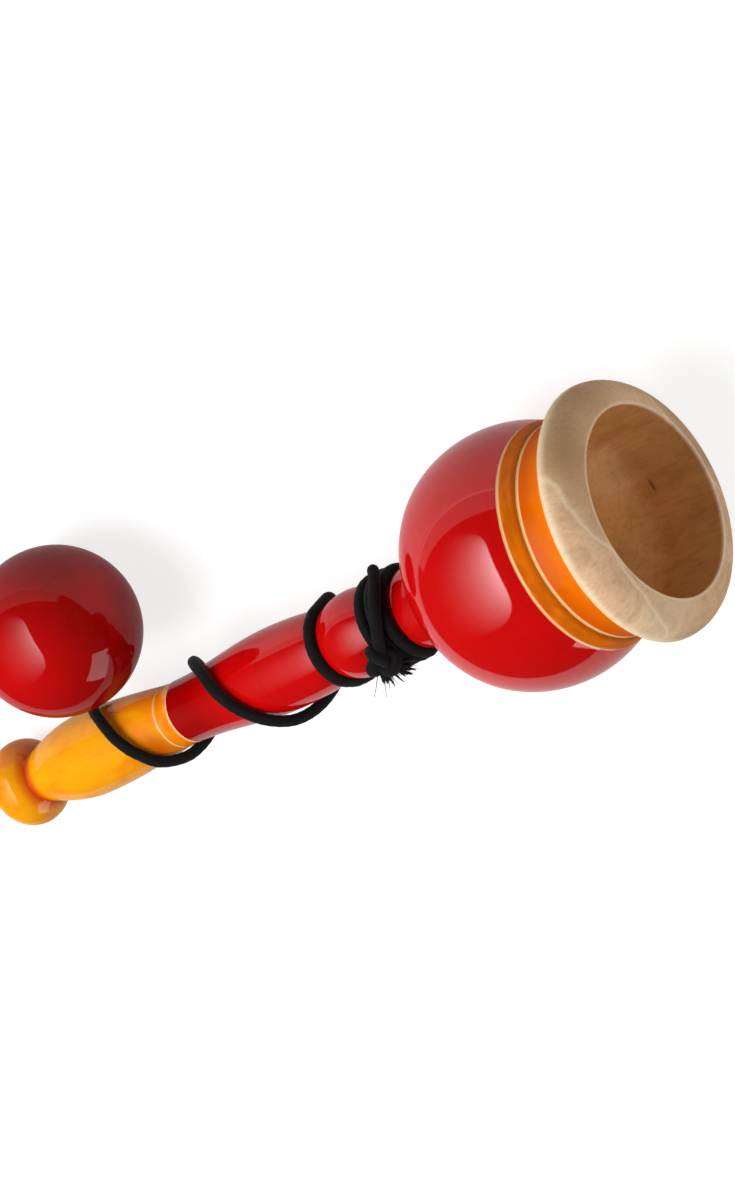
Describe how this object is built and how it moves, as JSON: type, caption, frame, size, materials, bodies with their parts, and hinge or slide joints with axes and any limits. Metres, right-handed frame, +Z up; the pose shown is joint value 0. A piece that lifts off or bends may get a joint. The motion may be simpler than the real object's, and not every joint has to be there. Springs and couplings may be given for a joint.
{
  "type": "cup and ball toy",
  "caption": "Turned wooden cup and ball toy lying down: lacquered cup on a long handle, with the ball tied on by a cord wound round the handle.",
  "frame": {"origin": "on the table, under the middle of the toy's box with its cord left out", "axes": "+X along the handle towards the cup's mouth, seen from above; +Y towards the ball; +Z up"},
  "size_m": [0.2322, 0.0904, 0.0655],
  "materials": {
    "red_lacquer": "gloss lacquer",
    "dark_red_lacquer": "gloss lacquer",
    "bare_wood": "bare, sanded",
    "black_cord": "matt, twisted"
  },
  "bodies": {
    "toy": {"cup": "red_lacquer", "handle": "red_lacquer", "neck_wrap": "black_cord", "neck_knot": "black_cord", "knot_tails": "black_cord", "tie_strand": "black_cord", "loose_winding": "black_cord"},
    "ball": {"ball": "dark_red_lacquer", "ball_plug": "bare_wood", "stopper_knot": "black_cord", "tether": "black_cord"}
  },
  "joints": [
    {"name": "ball_swing", "type": "hinge", "parent": "toy", "child": "ball", "pos_m": [-0.05671, -0.01378, 0.01739], "axis": [0.9944, 0, 0.1054], "range_deg": [0, 165], "deforming": ["tether"]}
  ]
}
